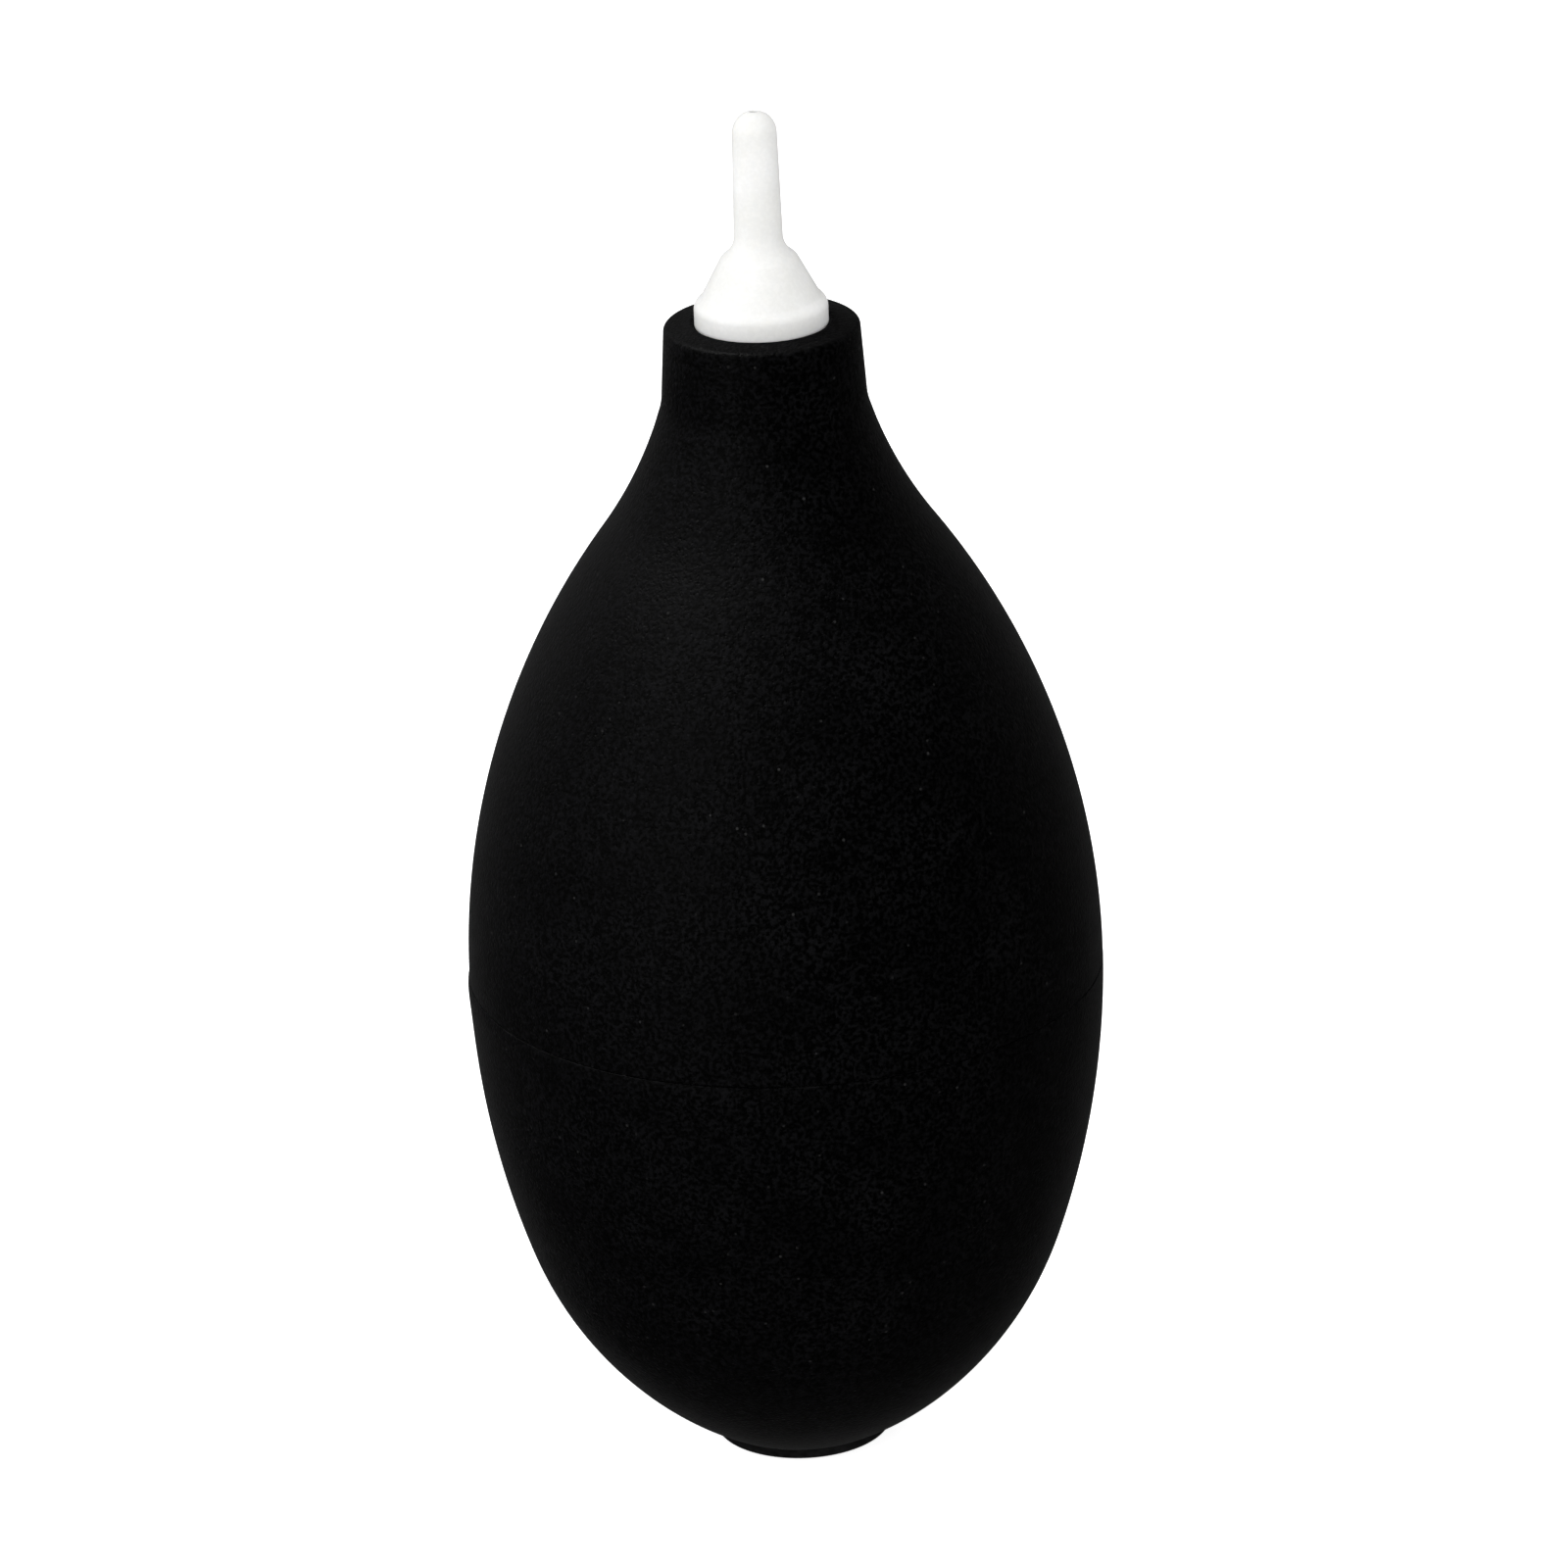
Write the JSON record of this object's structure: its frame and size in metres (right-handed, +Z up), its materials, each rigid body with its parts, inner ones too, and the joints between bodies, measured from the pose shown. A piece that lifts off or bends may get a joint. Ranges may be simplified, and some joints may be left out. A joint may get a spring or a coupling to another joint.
{
  "type": "dust blower bulb",
  "caption": "Hand-squeezed rubber air bulb with a tapered plastic nozzle in its neck and a one-way inlet valve in its flat foot, for blowing dust off watch movements.",
  "frame": {"origin": "middle of the foot flange's underside, on the surface that the bulb stands on", "axes": "+Z up along the bulb's axis, from the foot to the nozzle's tip; X and Y are any two square directions, because the bulb is round"},
  "size_m": [0.0502, 0.0502, 0.1103],
  "materials": {
    "bulb_rubber": "satin, finely mottled moulded rubber",
    "nozzle_plastic": "semi-matt moulded",
    "valve_plastic": "smooth moulded, slightly glossy",
    "screen_steel": "pierced sheet",
    "disc_rubber": "smooth thin sheet",
    "cage_plastic": "natural moulded"
  },
  "bodies": {
    "base": {"lower_shell": "bulb_rubber", "valve_housing": "valve_plastic", "inlet_screen": "screen_steel", "valve_cage": "cage_plastic"},
    "crown": {"upper_shell": "bulb_rubber"},
    "nozzle_body": {"nozzle": "nozzle_plastic"},
    "disc_body": {"valve_disc": "disc_rubber"}
  },
  "joints": [
    {"name": "bulb_squeeze", "type": "slide", "parent": "base", "child": "crown", "axis": [0, 0, 1], "range_m": [-0.02, 0], "stiffness_N_per_m": 900, "deforming": ["lower_shell", "upper_shell"]},
    {"name": "nozzle_pull", "type": "slide", "parent": "crown", "child": "nozzle_body", "axis": [0, 0, 1], "range_m": [0, 0.0095]},
    {"name": "valve_lift", "type": "slide", "parent": "base", "child": "disc_body", "axis": [0, 0, 1], "range_m": [0, 0.0008]}
  ]
}
